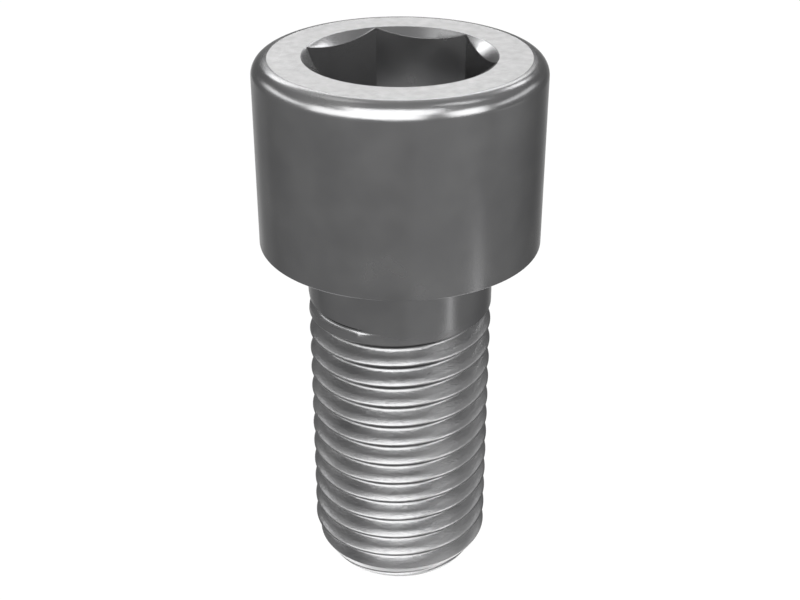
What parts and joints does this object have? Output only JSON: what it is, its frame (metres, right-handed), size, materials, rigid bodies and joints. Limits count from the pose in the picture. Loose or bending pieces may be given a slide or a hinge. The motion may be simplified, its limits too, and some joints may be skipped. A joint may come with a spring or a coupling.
{
  "type": "socket head bolt",
  "caption": "Steel bolt with a round cylindrical head, a hexagon socket in its top, a short plain neck and a threaded shank with a tapered end.",
  "frame": {"origin": "centre of the seat, the flat bearing face under the head, on the bolt's axis", "axes": "+Z along the bolt's axis towards the top of the head, the shank reaches along -Z, and two corners of the hexagon socket lie on the X axis"},
  "size_m": [0.03, 0.03, 0.06],
  "materials": {
    "steel": "satin plain steel, turned and ground, uncoated"
  },
  "bodies": {
    "root": {"socket_head_bolt": "steel"}
  },
  "joints": []
}
